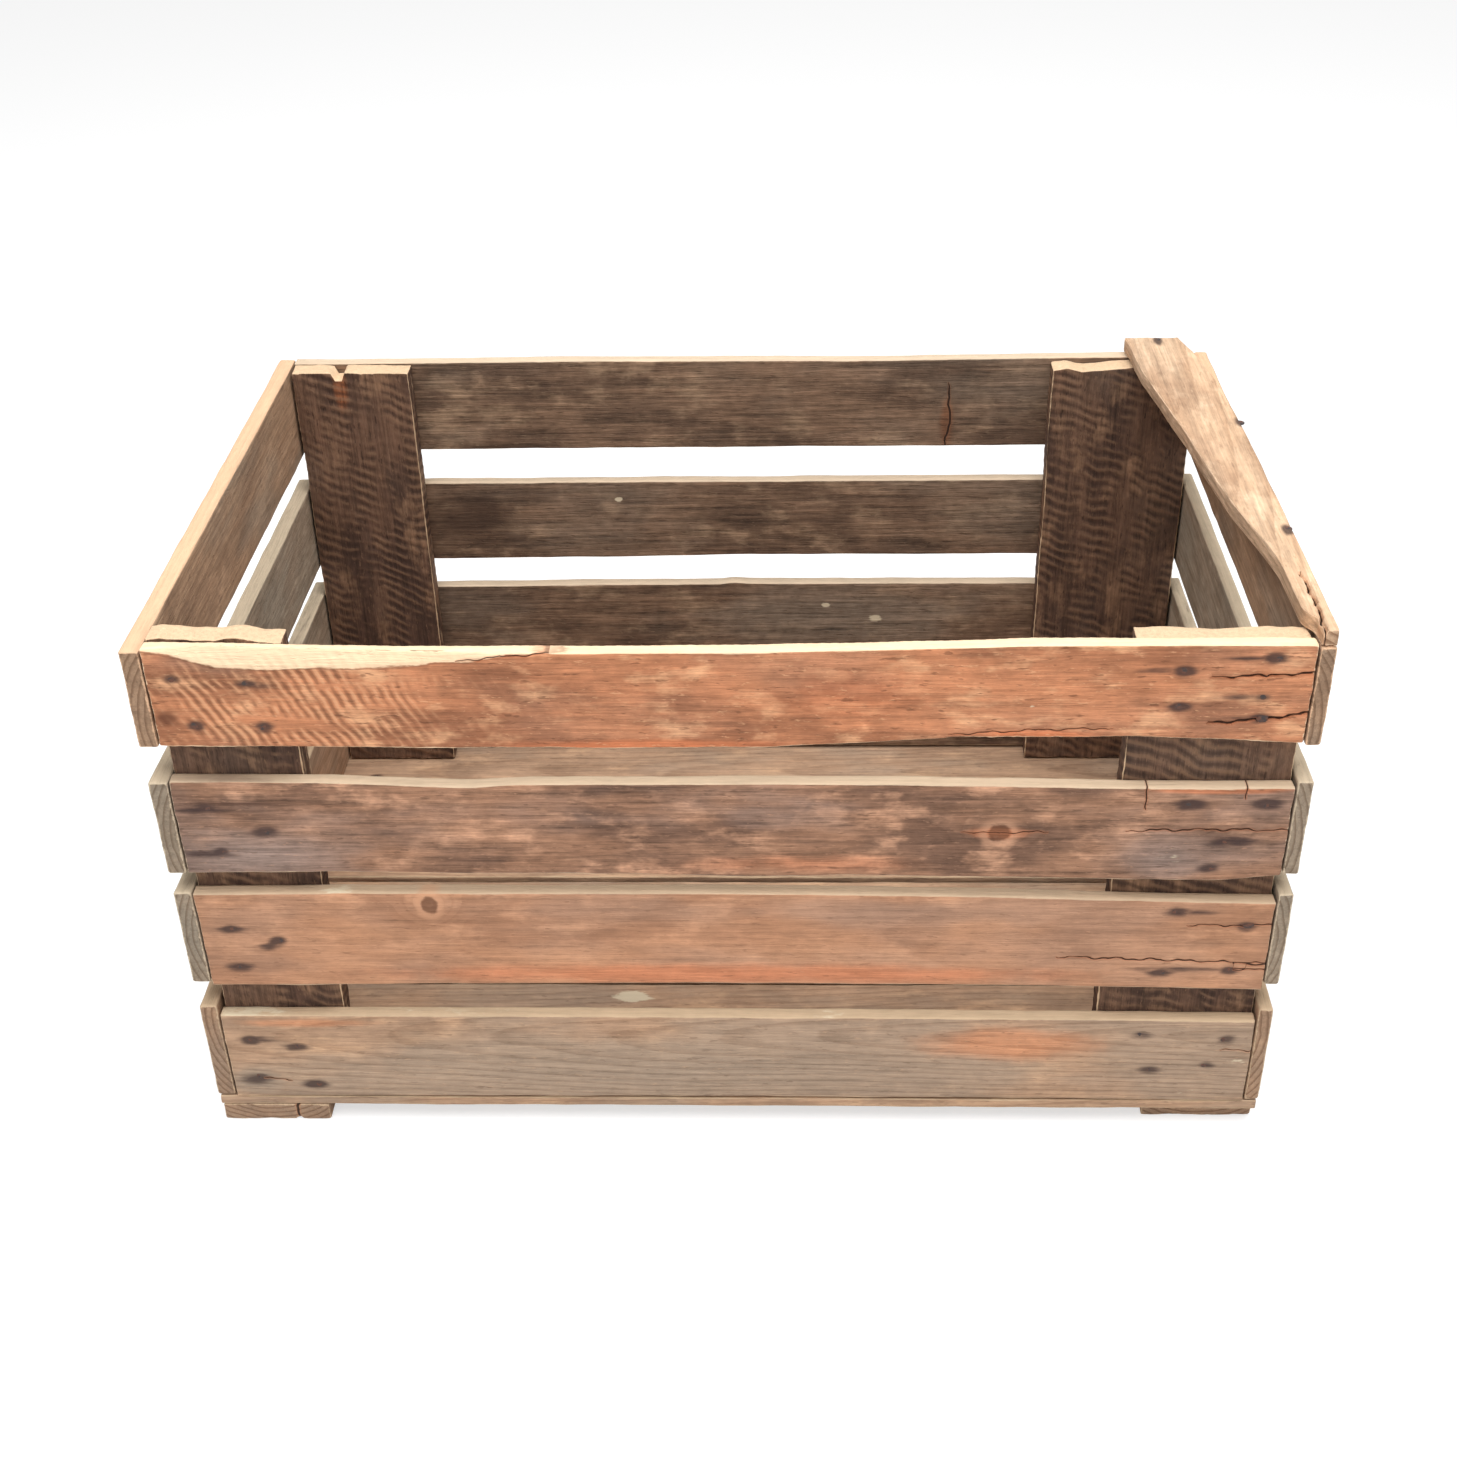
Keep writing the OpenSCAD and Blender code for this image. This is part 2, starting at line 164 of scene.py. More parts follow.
    # The saw has left slanting ridges and torn fibres.
    turn = node(tree, "ShaderNodeCombineXYZ", {0: sums(tree, "SINE", given["Saw Slant"]),
                                               1: sums(tree, "COSINE", given["Saw Slant"])})
    run = sums(tree, "DIVIDE", vectors(tree, "DOT_PRODUCT", place, turn, out=1), given["Saw Pitch"])
    phase = sums(tree, "MULTIPLY_ADD", noise(place, (12.0, 12.0, 12.0)), 2.0, run)
    ridge = sums(tree, "SINE", sums(tree, "MULTIPLY", phase, math.tau))
    cut = sums(tree, "MULTIPLY", sums(tree, "MULTIPLY_ADD", ridge, 0.5, 0.5), given["Saw Depth"])
    torn = sums(tree, "MULTIPLY", noise(place, (60.0, 330.0, 330.0), 3.0), given["Rough"])
    inward = vectors(tree, "SCALE", node(tree, "GeometryNodeInputNormal"),
                     sums(tree, "MULTIPLY", sums(tree, "ADD", cut, torn), -1.0))
    sawn = node(tree, "GeometryNodeSetPosition", {0: ragged, "Offset": inward})
    real = node(tree, "GeometryNodeRealizeInstances", {0: sawn})
    done = node(tree, "GeometryNodeSetMaterial", {0: real, "Material": given["Wood"]})
    tree.links.new(done, tree.nodes.new("NodeGroupOutput").inputs[0])
    return tree


def grown(name, tree, values, places=None):
    """Runs a Geometry Nodes tree once, on a mesh of places if it has one, and keeps a plain mesh."""
    piece = bpy.data.objects.new(name, bpy.data.meshes.new(name) if places is None else places)
    bpy.context.scene.collection.objects.link(piece)
    run = piece.modifiers.new("nodes", "NODES")
    run.node_group = tree
    for socket in tree.interface.items_tree:
        if socket.in_out == "INPUT" and socket.name in values:
            run[socket.identifier] = values[socket.name]
    plain = bpy.data.meshes.new_from_object(piece.evaluated_get(bpy.context.evaluated_depsgraph_get()))
    piece.modifiers.remove(run)
    piece.data = plain
    return piece


# The frame is in metres; the boards and the nails are worked out in millimetres.
per_metre = 1000


def driven(name, axis, apart=5.8, shank=2.0):
    """The nails of a CAD node, in mm: the middle of each head's face, its way, and its length.

    Corners nearer than apart are one nail's, and those farther out than shank are on its head."""
    points = np.array([corner.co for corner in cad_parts[name].data.vertices]) * per_metre
    flat = np.delete(points, axis, 1)
    left = np.ones(len(flat), bool)
    found = []
    while left.any():
        near = np.hypot(*(flat - flat[left][0]).T) < apart
        left &= ~near
        middle = (flat[near].min(0) + flat[near].max(0)) / 2
        depth = points[near, axis]
        wide = np.hypot(*(flat[near] - middle).T) > shank
        faces = 1 if depth[wide].mean() > depth.mean() else -1
        top = depth.max() if faces > 0 else depth.min()
        found.append((np.insert(middle, axis, top), axis, faces, depth.max() - depth.min()))
    return found


nails = {name: driven(name, axis) for name, axis in (
    ("front_left_nails", 1), ("front_right_nails", 1), ("back_left_nails", 1), ("back_right_nails", 1),
    ("left_end_nails", 0), ("right_end_nails", 0), ("floor_nails", 2), ("foot_nails", 2), ("rim_nails", 2))}
board_tree = sawn_board()


def bend(points, at):
    """A smooth line through a few measured points."""
    if not len(points):
        return np.zeros(len(at))
    fine = np.linspace(at.min() - 1, at.max() + 1, 500)
    line = np.interp(fine, *np.array(points, float).T)
    soften = 9
    bell = np.hanning(2 * soften + 1)
    return np.interp(at, fine, np.convolve(np.pad(line, soften, "edge"), bell / bell.sum(), "valid"))


# What stands for a half width, or for a height above the scar's border, where the wood is whole.
whole = -10.0


def split(cracks, u, v, seed, reach=3.5, far_off=60.0):
    """Distance to the nearest crack, its half width there, which way its far side lies, its depth."""
    count = len(u)
    best = np.full(count, far_off)
    half = np.full(count, whole)
    aside = np.zeros((count, 2))
    depth = np.zeros(count)
    for wide, deep, points in cracks:
        path = np.array(points, float)
        runs = np.hypot(*np.diff(path, axis=0).T)
        gone = np.concatenate([[0.0], np.cumsum(runs)]) / runs.sum()
        for a, b, start, run in zip(path[:-1], path[1:], gone[:-1], runs):
            way = (b - a) / run
            off = np.stack([u, v], 1) - a
            t = np.clip(off @ way, 0, run)
            wiggle = 0.5 * np.sin(t / 3.1 + seed) + 0.3 * np.sin(t / 1.3 + 2 * seed)
            across = off @ np.array([-way[1], way[0]]) - wiggle * np.clip(t * (run - t) / 30, 0, 1)
            past = np.abs(off @ way - t)
            far = np.hypot(across, past)
            near = far < np.abs(best)
            share = start + t / runs.sum()
            thin = wide / 2 * np.clip(6 * np.minimum(share, 1 - share), 0, 1) ** 0.6
            best[near] = np.copysign(far, across)[near]
            half[near] = np.where((far < reach) & (past < 0.5), thin, whole)[near]
            aside[near] = (-way[1], way[0])
            depth[near] = deep
    return best, half, aside, depth


def board(name, axes, rows, wood, seed, low=(), high=(), tip=(), cracks=(), chips=(), spots=(), knots=(),
          pith=(30.0, -45.0, 0.03), ring=3.4, arris=1.2, wander=0.8, rough=0.25, saw=(0.0, 5.0, 1.1),
          top_wear_and_highlight=0.8, end_wear_and_highlight=0.0, taper=False, scar=None):
    """Saws one board where its CAD node is, and gives it its own splits, chips, knots and stains.

    axes are the world axes along, across and out of it, and the way its face looks on the last.
    All sizes are in mm: u along the board from its middle, v across it from its lower edge.
    low and high bend its long edges, and tip its far end. A crack is its width, its depth and its
    points; a chip is u, v, two radii and a depth; a spot is a kind, a side, u, v, two radii and a
    strength; a knot is u, v and two radii. pith is where its growth rings have their middle."""
    along, across, out, outside = axes
    lo, hi = (np.array(corner) * per_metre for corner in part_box(name))
    length, width, thick = (hi - lo)[[along, across, out]]
    piece = grown(name + ".wood", board_tree, {
        "Length": length / per_metre, "Width": width / per_metre, "Thickness": thick / per_metre,
        "Rows Along": rows[0], "Rows Across": rows[1], "Rows Through": rows[2], "Arris": arris / per_metre,
        "Edge Wander": wander / per_metre, "Rough": rough / per_metre, "Saw Depth": saw[0] / per_metre,
        "Saw Pitch": saw[1] / per_metre, "Saw Slant": saw[2], "Seed": seed * 7.31, "Wood": wood})
    mesh = piece.data
    count = len(mesh.vertices)
    blank, shape = np.empty(count * 3), np.empty(count * 3)
    mesh.attributes["blank_at"].data.foreach_get("vector", blank)
    mesh.vertices.foreach_get("co", shape)
    blank, shape = blank.reshape(-1, 3) * per_metre, shape.reshape(-1, 3) * per_metre
    x, y, z = shape.T

    # The long edges follow the node's own corners, and the bends that the real board has.
    bottom, top = np.full(count, lo[across]), np.full(count, hi[across])
    if taper:
        solid = np.array([corner.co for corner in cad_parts[name].data.vertices]) * per_metre
        ends = [solid[np.abs(solid[:, along] - side[along]) < 0.1][:, across] for side in (lo, hi)]
        bottom = np.interp(x, (-length / 2, length / 2), [end.min() for end in ends])
        top = np.interp(x, (-length / 2, length / 2), [end.max() for end in ends])
    bottom, top = bottom + bend(low, x), top + bend(high, x)
    v = bottom + (y / width + 0.5) * (top - bottom) - lo[across]
    if tip:
        tip_reach = 22
        drawn = np.clip((x - length / 2 + tip_reach) / tip_reach, 0, 1) ** 2
        x = x + drawn * np.interp(v, *np.array(tip, float).T)
    u = x.copy()

    # Splits draw the wood's rows together and open a groove; chips and the scar cut into its face.
    drawn_reach, groove = 4, 1.6
    gap, gap_half, aside, deep = split(cracks, u, v, seed)
    near = np.clip(1 - np.abs(gap) / drawn_reach, 0, 1) * (gap_half > 0)
    outer = blank[:, 2] > -thick * 0.35
    pull = -gap * 0.45 * near * outer
    x, v = x + aside[:, 0] * pull, v + aside[:, 1] * pull
    z = z - deep * np.clip(1 - np.abs(gap) / groove, 0, 1) * (gap_half > 0.1) * outer * (z > 0)
    scarred = np.full(count, whole)
    if scar:
        border, depth = bend(scar[0], u), bend(scar[1], u)
        up = np.clip((v - border) / np.maximum(top - lo[across] - border, 1), 0, 1)
        z = np.minimum(z, thick / 2 - depth * up ** 1.2)
        scarred = np.where((u > scar[0][0][0]) & (u < scar[0][-1][0]), v - border, whole)
    for cu, cv, ru, rv, cut in chips:
        bowl = np.clip(1 - ((u - cu) / ru) ** 2 - ((v - cv) / rv) ** 2, 0, 1)
        z = np.where(bowl > 0, np.minimum(z, thick / 2 - cut * bowl ** 0.7), z)

    # Iron has stained the wood round each nail, along the grain, and the heads sit a little low.
    marks = {kind: np.zeros(count) for kind in ("stain", "chalk", "wear_and_highlight", "dark", "sawn", "warm", "grey")}
    dice = np.random.default_rng(int(seed * 100))
    skin, dent, dent_radius = 0.01, 0.45, 3.4
    at_face = blank[:, 2] > thick / 2 - skin
    for group in nails.values():
        for head, axis, faces, _ in group:
            inside = all(lo[k] - 1 < head[k] < hi[k] + 1 for k in range(3))
            if axis != out or faces != outside or not inside:
                continue
            du = u - (head[along] - (lo + hi)[along] / 2)
            dv = v - (head[across] - lo[across])
            z = z - dent * np.exp(-(np.hypot(du, dv) / dent_radius) ** 2) * (blank[:, 2] > 0)
            slip, run, tall, strong = dice.uniform((-2.5, 5.5, 2.8, 0.75), (2.5, 9.5, 4.4, 1.15))
            halo = strong * np.exp(-((du - slip) / run) ** 2 - (dv / tall) ** 2)
            marks["stain"] = np.maximum(marks["stain"], halo * np.where(at_face, 1.0, 0.4))

    # Spots of every other kind lie on its face (f), its back (b) or its top edge (t).
    on_edge = blank[:, 1] > width / 2 - skin
    where = {"f": at_face, "t": on_edge, "b": blank[:, 2] < skin - thick / 2}
    for kind, side, cu, cv, ru, rv, strong in spots:
        glow = strong * np.exp(-((u - cu) / ru) ** 2 - ((v - cv) / rv) ** 2)
        marks[kind] = np.maximum(marks[kind], glow * where[side])
    to_arris = np.sort(np.stack([length / 2 - np.abs(blank[:, 0]), width / 2 - np.abs(blank[:, 1]),
                                 thick / 2 - np.abs(blank[:, 2])]), 0)[1]
    arris_wear, arris_reach = 0.62, 1.5
    marks["wear_and_highlight"] = np.maximum(marks["wear_and_highlight"], arris_wear * np.exp(-to_arris / arris_reach))
    # The whole top edge (t) is painted paler: partly rubbed wear, partly painted highlight of the light from
    # above.
    marks["wear_and_highlight"] = np.maximum(marks["wear_and_highlight"], top_wear_and_highlight * on_edge)
    end_cut = np.abs(blank[:, 0]) > length / 2 - skin
    # The far end is painted paler as well: on the corner boards' tops, partly weathered end grain and partly
    # painted highlight of the light from above.
    far_end = end_cut & (blank[:, 0] > 0)
    marks["wear_and_highlight"] = np.where(far_end, np.maximum(marks["wear_and_highlight"] * 0.6, end_wear_and_highlight), marks["wear_and_highlight"])

    # Growth rings: rings round a pith that lies off the board, pushed aside by its knots.
    sway = 1.4 * np.sin(u / 71 + seed) + 0.8 * np.sin(u / 29 + 2.1 * seed)
    radius = np.hypot(v - pith[0] - sway, z - pith[1] - pith[2] * u)
    knot = np.full(count, 9.0)
    for ku, kv, ru, rv in knots:
        far = np.hypot((u - ku) / ru, (v - kv) / rv)
        knot = np.minimum(knot, far)
        radius = radius + 2.2 * rv * np.exp(-(((u - ku) / ru) ** 2 / 7 + ((v - kv) / rv) ** 2 / 3))
    growth = radius / ring

    world = np.empty((count, 3))
    world[:, along] = (lo + hi)[along] / 2 + x
    world[:, across] = lo[across] + v
    world[:, out] = (hi if outside > 0 else lo)[out] - outside * (thick / 2 - z)
    mesh.vertices.foreach_set("co", np.ascontiguousarray(world / per_metre).ravel())
    basis = np.zeros((3, 3))
    basis[0, along], basis[1, across], basis[2, out] = 1, 1, outside
    if np.linalg.det(basis) < 0:
        mesh.flip_normals()
    mesh.attributes.remove(mesh.attributes["blank_at"])
    grain_at = np.stack([u, v, z], 1) / per_metre + seed * 1.37
    for key, kind, values in (
            ("grain_at", "FLOAT_VECTOR", grain_at),
            ("rings", "FLOAT_VECTOR", np.stack([growth, knot, end_cut], 1)),
            ("splits", "FLOAT_VECTOR", np.stack([np.clip(gap, -9, 9), gap_half, scarred], 1)),
            ("dirt_wear_and_highlight", "FLOAT_COLOR", np.stack([marks[k] for k in ("stain", "chalk", "wear_and_highlight", "dark")], 1)),
            ("tint", "FLOAT_VECTOR", np.stack([marks[k] for k in ("sawn", "warm", "grey")], 1))):
        data = mesh.attributes.new(key, kind, "POINT").data
        data.foreach_set("color" if kind == "FLOAT_COLOR" else "vector", np.ascontiguousarray(values).ravel())
    mesh.polygons.foreach_set("use_smooth", np.ones(len(mesh.polygons), bool))
    mesh.update()
    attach(piece, "root")
    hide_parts(name)


def tone(red, green, blue):
    """A colour as seen on a screen, from 0 to 255, made linear."""
    shares = (level / 255 for level in (red, green, blue))
    return tuple(c / 12.92 if c < 0.0404 else ((c + 0.055) / 1.055) ** 2.4 for c in shares) + (1.0,)


def old_sawn_wood():
    """Old bare softwood: blotches, fibres, rings, saw marks, grime, iron stain, worn wood with a painted
    highlight on the top edges, splits and knots.
    """
    tree = bpy.data.node_groups.new("old_sawn_wood", "ShaderNodeTree")
    given = inputs(tree, ("Pale", "Color", None), ("Mid", "Color", None), ("Deep", "Color", None),
                   ("Grey", "Color", None), ("Worn", "Color", None), ("Warm", "Color", None),
                   ("Blotch", "Float", 1.0), ("Weather", "Float", 0.3), ("Streak", "Float", 0.5),
                   ("Ring", "Float", 0.25), ("Fuzz", "Float", 0.5), ("Saw Marks", "Float", 0.0),
                   ("Saw Pitch", "Float", 0.005), ("Saw Slant", "Float", 1.1))
    for name, kind in (("Colour", "Color"), ("Height", "Float"), ("Rough", "Float")):
        tree.interface.new_socket(name, in_out="OUTPUT", socket_type="NodeSocket" + kind)

    def attribute(name, kind="Vector"):
        return node(tree, "ShaderNodeAttribute", out=kind, attribute_name=name)

    def parts(vector):
        return [node(tree, "ShaderNodeSeparateXYZ", {0: vector}, out=k) for k in range(3)]

    grain = attribute("grain_at")
    growth, knot, end_cut = parts(attribute("rings"))
    gap, gap_half, scarred = parts(attribute("splits"))
    stain, chalk, wear_and_highlight = parts(attribute("dirt_wear_and_highlight"))
    dark = attribute("dirt_wear_and_highlight", "Alpha")
    sawn, warm, grey = parts(attribute("tint"))

    def noise(along, across, detail=3.0, shift=0.0):
        at = node(tree, "ShaderNodeVectorMath",
                  {0: grain, 1: (along, across, across), 2: (shift, shift, shift)}, operation="MULTIPLY_ADD")
        return node(tree, "ShaderNodeTexNoise",
                    {"Vector": at, "Scale": 1.0, "Detail": detail, "Roughness": 0.6})

    def blend(share, under, over, how="MIX"):
        return node(tree, "ShaderNodeMix", {0: share, 6: under, 7: over}, out=2, data_type="RGBA",
                    blend_type=how)

    def darker(under, red, green, blue):
        return blend(1.0, under, (red, green, blue, 1.0), "MULTIPLY")

    def times(a, b):
        return sums(tree, "MULTIPLY", a, b)

    def centred(pattern):
        return sums(tree, "SUBTRACT", pattern, 0.5)

    def rest(mask):
        return sums(tree, "SUBTRACT", 1.0, mask)

    def broken(mask, pattern, low, high, ragged=0.5):
        """A painted mask whose border is broken up by a pattern."""
        return rise(tree, sums(tree, "ADD", mask, times(centred(pattern), ragged)), low, high)

    clouds = noise(13, 34, 5.0)
    patches = noise(34, 60, 4.0, 7.0)
    drift = noise(7, 18, 3.0, 13.0)
    streaks = noise(13, 420, 3.0, 3.0)
    fibres = noise(75, 1500, 2.0, 5.0)
    crumbs = noise(170, 620, 3.0, 9.0)
    pores = noise(110, 480, 2.0, 17.0)
    mottle = noise(130, 170, 4.0, 21.0)

    colour = blend(times(rise(tree, clouds, 0.40, 0.62), given["Blotch"]), given["Mid"], given["Deep"])
    colour = blend(times(rise(tree, patches, 0.50, 0.70), given["Blotch"]), colour, given["Pale"])
    colour = blend(times(rise(tree, sums(tree, "ADD", drift, times(grey, 0.5)), 0.46, 0.66),
                         sums(tree, "ADD", given["Weather"], times(grey, 0.5))), colour, given["Grey"])
    colour = blend(times(broken(warm, patches, 0.25, 0.75), 0.8), colour, given["Warm"])

    # Growth rings: a soft pale band that darkens to a thin hard line.
    wavy = sums(tree, "MULTIPLY_ADD", noise(9, 55, 3.0, 31.0), 0.9, growth)
    band = sums(tree, "FRACT", wavy)
    late = times(rise(tree, band, 0.45, 0.92), rest(rise(tree, band, 0.93, 1.0)))
    late = times(late, sums(tree, "MULTIPLY_ADD", end_cut, 0.6, given["Ring"]))
    colour = blend(late, colour, darker(colour, 0.42, 0.33, 0.27))

    # Fibres, torn fluff and pores.
    grainy = sums(tree, "ADD", times(centred(streaks), 2.0), times(centred(fibres), 1.3))
    grainy = sums(tree, "ADD", grainy, centred(mottle))
    shade = sums(tree, "MULTIPLY_ADD", grainy, given["Streak"], 1.0)
    colour = vectors(tree, "SCALE", colour, shade)
    fluff = times(rise(tree, crumbs, 0.60, 0.72), given["Fuzz"])
    colour = blend(times(fluff, 0.55), colour, given["Pale"])
    pits = times(rise(tree, pores, 0.62, 0.72), given["Fuzz"])
    colour = blend(times(pits, 0.65), colour, darker(given["Deep"], 0.45, 0.42, 0.40))

    # Saw marks, where the board still shows them.
    turn = node(tree, "ShaderNodeCombineXYZ", {0: sums(tree, "SINE", given["Saw Slant"]),
                                               1: sums(tree, "COSINE", given["Saw Slant"])})
    run = sums(tree, "DIVIDE", vectors(tree, "DOT_PRODUCT", grain, turn, out=1), given["Saw Pitch"])
    wavering = sums(tree, "MULTIPLY_ADD", noise(14, 30, 2.0, 2.0), 2.4, run)
    left = rise(tree, noise(26, 60, 3.0, 41.0), 0.36, 0.62)
    shown = times(sums(tree, "ADD", given["Saw Marks"], sawn), left)
    ridge = times(sums(tree, "SINE", times(wavering, math.tau)), shown)
    colour = blend(times(rise(tree, ridge, 0.0, 0.9), 0.5), colour, given["Pale"])
    colour = blend(times(rise(tree, ridge, 0.0, -0.9), 0.55), colour, darker(given["Deep"], 0.6, 0.6, 0.6))

    # End grain is darker; worn arrises are paler, and so are the top edges and the corner boards' tops,
    # partly from wear and partly as painted highlight.
    colour = blend(times(end_cut, 0.45), colour, darker(given["Deep"], 0.75, 0.75, 0.75))
    rubbed_and_lit = broken(wear_and_highlight, noise(45, 300, 4.0, 51.0), 0.34, 0.60, 0.9)
    worn = vectors(tree, "SCALE", given["Worn"], sums(tree, "MULTIPLY_ADD", grainy, 0.22, 1.0))
    colour = blend(rubbed_and_lit, colour, worn)
    grimy = times(broken(dark, clouds, 0.2, 0.9, 0.7), 0.85)
    colour = blend(grimy, colour, darker(given["Deep"], 0.55, 0.5, 0.5))

    # The scar's fresh wood, with a dark lip where it breaks off.
    jag = sums(tree, "ADD", scarred, times(centred(noise(60, 190, 4.0, 61.0)), 5.0))
    fresh = rise(tree, jag, -0.5, 0.6)
    colour = blend(times(fresh, 0.85), colour, worn)
    lip = times(rise(tree, jag, -1.2, -0.2), rest(fresh))
    colour = blend(times(lip, 0.6), colour, darker(given["Deep"], 0.8, 0.8, 0.8))

    # Knots: a dark, hard core in a pale ring.
    wood_eye = sums(tree, "ADD", knot, times(centred(mottle), 0.5))
    core = rest(rise(tree, wood_eye, 0.75, 1.0))
    halo = times(rise(tree, wood_eye, 0.85, 1.1), rest(rise(tree, wood_eye, 1.2, 1.9)))
    colour = blend(times(halo, 0.5), colour, given["Pale"])
    colour = blend(times(core, 0.7), colour, tone(92, 58, 40))

    # Iron stain, whitish deposit and open splits.
    iron = broken(stain, noise(70, 330, 3.0, 71.0), 0.22, 0.85, 0.6)
    colour = blend(times(iron, 0.88), colour, tone(58, 42, 40))
    limed = broken(chalk, noise(90, 260, 4.0, 81.0), 0.42, 0.62, 1.0)
    colour = blend(times(limed, 0.8), colour, tone(214, 200, 172))
    open_by = sums(tree, "SUBTRACT", sums(tree, "ABSOLUTE", gap), gap_half)
    rim = rest(rise(tree, open_by, 0.1, 1.3))
    colour = blend(times(rim, 0.4), colour, given["Warm"])
    chasm = rest(rise(tree, open_by, -0.15, 0.35))
    colour = blend(times(chasm, 0.92), colour, tone(34, 22, 16))

    height = times(streaks, 0.8)
    for relief, amount in ((fibres, 0.6), (mottle, 0.5), (fluff, 0.35), (pits, -0.5), (ridge, 0.35),
                           (late, 0.5), (chasm, -1.6)):
        height = sums(tree, "MULTIPLY_ADD", relief, amount, height)
    dull = sums(tree, "SUBTRACT", sums(tree, "MULTIPLY_ADD", streaks, 0.15, 0.82), times(iron, 0.12))
    leaves = tree.nodes.new("NodeGroupOutput").inputs
    tree.links.new(colour, leaves["Colour"])
    tree.links.new(height, leaves["Height"])
    tree.links.new(dull, leaves["Rough"])
    return tree


wood_group = old_sawn_wood()


def wood(name, **values):
    """A wood of its own colours, from the shared group."""
    made = bpy.data.materials.new(name)
    made.use_nodes = True
    tree = made.node_tree
    shader = tree.nodes["Principled BSDF"]
    shader.inputs["Specular IOR Level"].default_value = 0.25
    grain = tree.nodes.new("ShaderNodeGroup")
    grain.node_tree = wood_group
    for key, value in values.items():
        grain.inputs[key.replace("_", " ")].default_value = value
    tree.links.new(grain.outputs["Colour"], shader.inputs["Base Color"])
    tree.links.new(grain.outputs["Rough"], shader.inputs["Roughness"])
    relief = node(tree, "ShaderNodeBump",
                  {"Strength": 0.8, "Distance": 0.0007, "Height": grain.outputs["Height"]})
    tree.links.new(relief, shader.inputs["Normal"])
    return made


orange_wood = wood("orange_wood", Pale=tone(226, 172, 130), Mid=tone(190, 128, 92), Deep=tone(132, 86, 62),
                   Grey=tone(150, 122, 104), Worn=tone(238, 208, 172), Warm=tone(200, 118, 78), Blotch=0.75,
                   Weather=0.2, Streak=0.55, Ring=0.14, Fuzz=0.8)
brown_wood = wood("brown_wood", Pale=tone(196, 150, 120), Mid=tone(150, 112, 88), Deep=tone(104, 78, 64),
                  Grey=tone(140, 120, 110), Worn=tone(204, 180, 152), Warm=tone(190, 120, 84), Blotch=0.8,
                  Weather=0.45, Streak=0.75, Ring=0.16, Fuzz=0.6)
russet_wood = wood("russet_wood", Pale=tone(204, 154, 120), Mid=tone(184, 136, 104), Deep=tone(146, 106, 82),
                   Grey=tone(158, 130, 112), Worn=tone(192, 166, 138), Warm=tone(196, 124, 88), Blotch=0.6,
                   Weather=0.3, Streak=0.4, Ring=0.14, Fuzz=0.5)
grey_wood = wood("grey_wood", Pale=tone(206, 168, 134), Mid=tone(182, 148, 120), Deep=tone(146, 118, 96),
                 Grey=tone(156, 138, 120), Worn=tone(194, 168, 138), Warm=tone(200, 138, 100), Blotch=0.6,
                 Weather=0.55, Streak=0.4, Ring=0.28, Fuzz=0.5)

to_front = (0, 2, 1, -1)
board("front_slat_1", to_front, (440, 38, 7), orange_wood, 1.3, saw=(0.12, 5.0, 1.1), arris=1.4,
      high=((-280, 1.5), (-270, 2), (-200, 0), (-150, -1), (0, -1), (100, 1), (150, 2.2), (280, 2)),
      low=((-280, 1.5), (-150, 0), (-50, -0.5), (20, 0), (110, 5), (200, 6), (260, 3), (280, 1.5)),
      scar=(((-283, 58), (-262, 54), (-242, 47), (-200, 46.5), (-167, 47), (-117, 51), (-98, 54), (-58, 57)),
            ((-283, 3.2), (-240, 4.5), (-170, 4.0), (-120, 2.5), (-60, 0.5), (-50, 0))),
      cracks=((0.9, 2.0, ((230, 40), (258, 41), (290, 43))), (1.5, 2.5, ((231, 14), (256, 16), (290, 21.5))),
              (0.5, 0.8, ((107, 8), (150, 10.5), (187, 11.5))),
              (0.5, 0.7, ((-128, 50.5), (-105, 53), (-82, 54.8)))),
      chips=((147.5, 23.8, 2.5, 1.2, 0.5), (279, 0, 6, 5, 1.2), (-279, 0, 5, 4, 1.0)),
      spots=(("stain", "f", 206, 44.4, 14, 1.8, 0.8), ("stain", "f", 247, 51, 14, 1.6, 0.8),
             ("stain", "f", 244, 29.4, 14, 2.0, 0.8), ("stain", "f", 244, 17.3, 14, 1.6, 0.6),
             ("stain", "f", -224, 37, 9, 2.2, 0.7), ("dark", "f", -273, 18.5, 7, 5, 1.0),
             ("sawn", "f", -215, 26, 75, 40, 1.3), ("warm", "f", -40, 2, 90, 5, 0.8),
             ("dark", "f", -242, 53, 16, 6, 0.9), ("grey", "f", -242, 53, 17, 6, 1.2),
             ("grey", "f", -195, 52, 28, 5, 0.7), ("warm", "f", 148, 8, 40, 3, 0.8),
             ("warm", "f", 60, 30, 60, 25, 0.5), ("dark", "f", 40, 30, 60, 22, 0.35),
             ("chalk", "f", 147.5, 23.8, 2.2, 1.0, 0.9)),
      pith=(70.0, -60.0, 0.04), top_wear_and_highlight=1.0)
